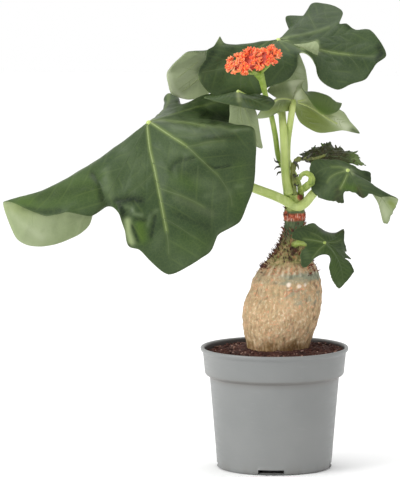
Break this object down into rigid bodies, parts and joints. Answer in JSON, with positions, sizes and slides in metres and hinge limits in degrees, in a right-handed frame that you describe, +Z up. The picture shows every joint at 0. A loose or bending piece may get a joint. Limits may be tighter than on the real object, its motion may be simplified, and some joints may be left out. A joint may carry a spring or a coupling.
{
  "type": "potted buddha belly plant",
  "caption": "Buddha belly plant with a swollen caudex, large drooping lobed leaves and a head of coral flowers, in a grey nursery pot.",
  "frame": {"origin": "middle of the pot's base, on the plane the pot stands on", "axes": "+Z up; -Y towards the side the plant is seen from, +X to that viewer's right"},
  "size_m": [0.3182, 0.1253, 0.373],
  "materials": {
    "pot_plastic": "satin moulded grey",
    "soil": "dark red-brown potting mix with pale crumbs",
    "bark": "dry fissured tan bark",
    "stalk": "smooth light green stalk",
    "leaf": "waxy dark green above, pale below",
    "shoot": "smooth young green",
    "flower": "soft coral petals"
  },
  "bodies": {
    "root": {"pot": "pot_plastic", "soil": "soil", "caudex_and_stem": "bark", "stalk_left": "stalk", "stalk_top": "stalk", "stalk_right_upper": "stalk", "stalk_middle": "stalk", "stalk_right_middle": "stalk", "stalk_low": "stalk", "stalk_shrivelled": "stalk", "leaf_left": "leaf", "leaf_top": "leaf", "leaf_right_upper": "leaf", "leaf_right_middle": "leaf", "leaf_low": "leaf", "leaf_middle": "leaf", "leaf_shrivelled": "leaf", "young_shoot": "shoot", "flower_stalk": "shoot", "flowers": "flower"}
  },
  "joints": []
}
